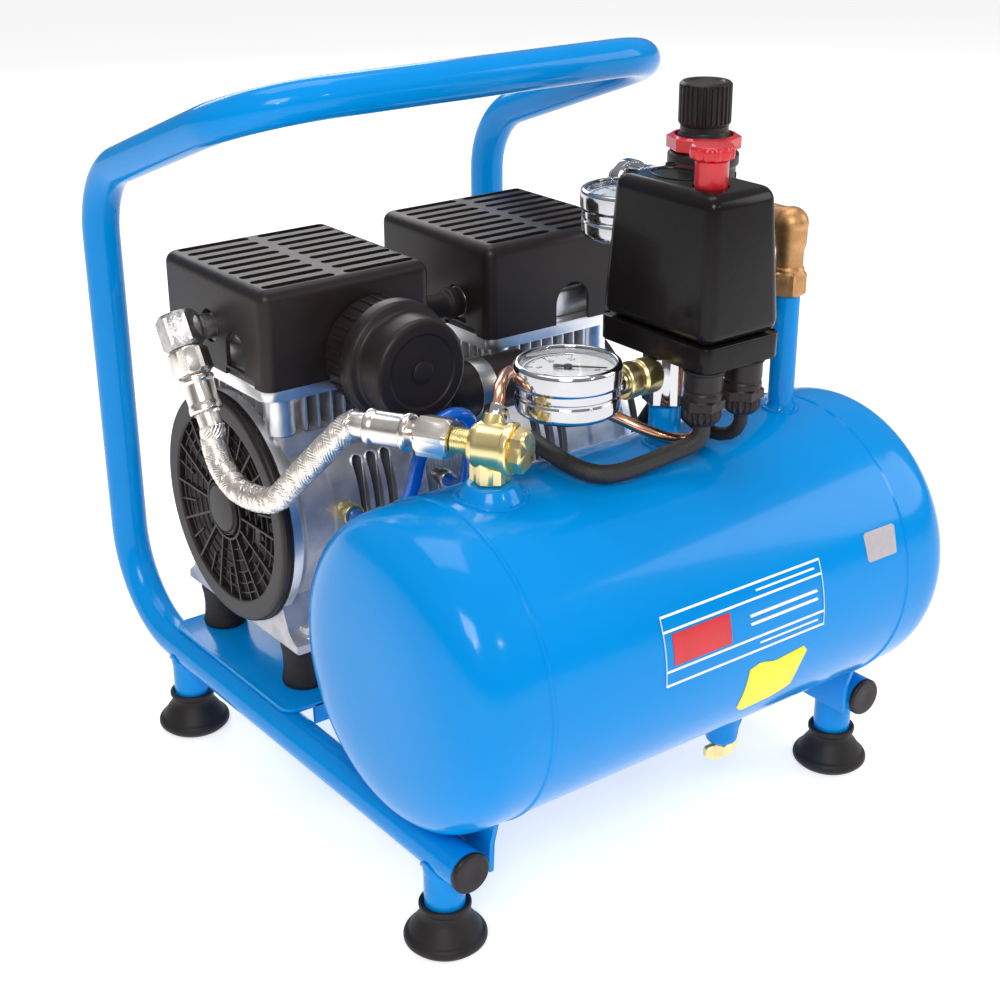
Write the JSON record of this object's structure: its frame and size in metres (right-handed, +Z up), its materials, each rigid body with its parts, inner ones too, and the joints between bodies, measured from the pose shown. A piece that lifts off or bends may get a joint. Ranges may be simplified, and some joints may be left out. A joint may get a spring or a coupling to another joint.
{
  "type": "airbrush compressor",
  "caption": "Portable oil-free airbrush compressor: twin-head motor pump with intake filter and braided hose on a bent-tube frame, over an air tank with pressure switch, gauges and regulator.",
  "frame": {"origin": "on the floor, under the middle of the machine", "axes": "+X along the air tank, +Y from the tank towards the motor and the handle's uprights, +Z up"},
  "size_m": [0.3272, 0.4019, 0.398],
  "materials": {
    "blue_paint": "gloss",
    "black_plastic": "satin",
    "black_rubber": "matte",
    "cast_aluminium": "satin",
    "steel": "satin",
    "chrome": "polished",
    "brass": "polished",
    "copper": "polished",
    "red_plastic": "gloss",
    "blue_hose": "gloss",
    "braid": "satin"
  },
  "bodies": {
    "machine": {"base_plate": "blue_paint", "capacitor": "black_plastic", "check_valve": "brass", "copper_tube": "copper", "coupler_body": "steel", "crankcase_left": "cast_aluminium", "crankcase_right": "cast_aluminium", "crossover_pipe": "black_rubber", "cylinder_left": "cast_aluminium", "cylinder_right": "cast_aluminium", "fan_grille_left": "black_plastic", "fan_grille_right": "black_plastic", "foot_back_left": "black_rubber", "foot_back_right": "black_rubber", "foot_front_left": "black_rubber", "foot_front_right": "black_rubber", "gauge_1_case": "chrome", "gauge_2_case": "chrome", "gland_1": "black_plastic", "gland_2": "black_plastic", "handle_frame": "blue_paint", "head_cover_left": "black_plastic", "head_cover_right": "black_plastic", "head_left": "cast_aluminium", "head_right": "cast_aluminium", "hose_end_lower": "chrome", "hose_end_upper": "chrome", "inlet_elbow": "brass", "intake_filter": "black_plastic", "mains_coil": "black_rubber", "mains_lead": "black_rubber", "mains_plug": "black_plastic", "manifold": "chrome", "motor_cable": "black_rubber", "motor_mount_1": "black_rubber", "motor_mount_2": "black_rubber", "motor_mount_3": "black_rubber", "motor_mount_4": "black_rubber", "outlet_elbow": "chrome", "outlet_hose": "braid", "rail_cap_left": "black_plastic", "rail_cap_right": "black_plastic", "regulator_body": "black_plastic", "regulator_ring": "red_plastic", "stator": "steel", "switch_base": "black_plastic", "switch_cover": "black_plastic", "tank_shell": "blue_paint", "vent_tube": "blue_hose"},
    "shaft": {"rotor_shaft": "steel", "fan_left": "black_plastic", "fan_right": "black_plastic"},
    "left_piston": {"piston_left": "cast_aluminium"},
    "right_piston": {"piston_right": "cast_aluminium"},
    "power_knob": {"switch_knob": "red_plastic"},
    "pressure_knob": {"regulator_knob": "black_plastic"},
    "tank_needle": {"gauge_1_needle": "black_plastic"},
    "outlet_needle": {"gauge_2_needle": "black_plastic"},
    "drain": {"drain_screw": "brass"},
    "sleeve": {"coupler_sleeve": "chrome"}
  },
  "joints": [
    {"name": "shaft_spin", "type": "hinge", "parent": "machine", "child": "shaft", "pos_m": [-0.01, 0.0705, 0.16], "axis": [1, 0, 0], "continuous": true},
    {"name": "left_piston_stroke", "type": "slide", "parent": "machine", "child": "left_piston", "axis": [0, 0, 1], "range_m": [-0.006, 0.006]},
    {"name": "right_piston_stroke", "type": "slide", "parent": "machine", "child": "right_piston", "axis": [0, 0, 1], "range_m": [-0.006, 0.006]},
    {"name": "power_knob_lift", "type": "slide", "parent": "machine", "child": "power_knob", "axis": [0, 0, 1], "range_m": [-0.006, 0]},
    {"name": "pressure_knob_turn", "type": "hinge", "parent": "machine", "child": "pressure_knob", "pos_m": [0.097, -0.056, 0.36], "axis": [0, 0, 1], "range_deg": [-300, 300]},
    {"name": "tank_needle_turn", "type": "hinge", "parent": "machine", "child": "tank_needle", "pos_m": [-0.047, -0.1208, 0.275], "axis": [0, 0, -1], "range_deg": [0, 270]},
    {"name": "outlet_needle_turn", "type": "hinge", "parent": "machine", "child": "outlet_needle", "pos_m": [0.0465, -0.056, 0.332], "axis": [0, 0, -1], "range_deg": [0, 270]},
    {"name": "drain_turn", "type": "hinge", "parent": "machine", "child": "drain", "pos_m": [0.045, -0.1437, 0.05], "axis": [0, 0, 1], "range_deg": [0, 350]},
    {"name": "sleeve_slide", "type": "slide", "parent": "machine", "child": "sleeve", "axis": [0, 1, 0], "range_m": [-0.005, 0], "stiffness_N_per_m": 300}
  ]
}
